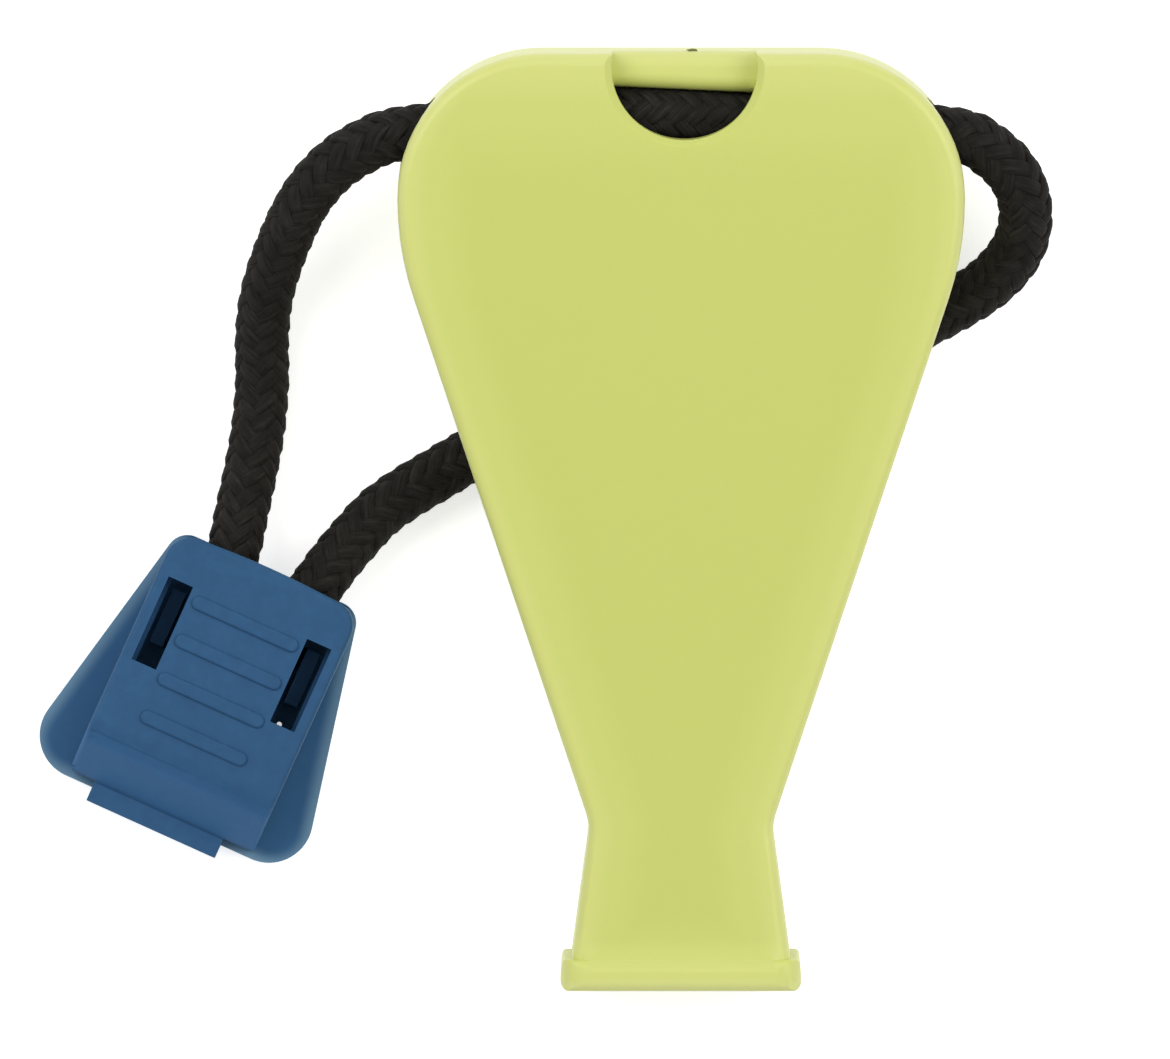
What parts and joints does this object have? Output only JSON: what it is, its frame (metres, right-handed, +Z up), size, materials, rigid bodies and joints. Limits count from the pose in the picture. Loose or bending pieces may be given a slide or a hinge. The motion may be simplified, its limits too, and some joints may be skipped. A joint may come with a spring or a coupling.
{
  "type": "survival whistle with cord loop and cord clip",
  "caption": "Flat pealess survival whistle, welded from two shells, with a mouth bead, sound windows at the back, and a cord loop closed by a hinged clip.",
  "frame": {"origin": "under the middle of the whistle's box, on the surface it lies on", "axes": "+Y from the mouthpiece to the head, +Z up out of the front face, +X to the right as seen from in front"},
  "size_m": [0.0761, 0.0708, 0.0147],
  "materials": {
    "whistle_plastic": "satin moulded ABS",
    "cord_braid": "braided nylon",
    "clip_plastic": "satin moulded acetal"
  },
  "bodies": {
    "whistle": {"whistle_front": "whistle_plastic", "whistle_back": "whistle_plastic", "cord": "cord_braid", "clip_base": "clip_plastic"},
    "lid": {"clip_lid": "clip_plastic"}
  },
  "joints": [
    {"name": "lid_hinge", "type": "hinge", "parent": "whistle", "child": "lid", "pos_m": [-0.03972, -0.02343, 0.00135], "axis": [0.9114, -0.4115, 0], "range_deg": [0, 135]}
  ]
}
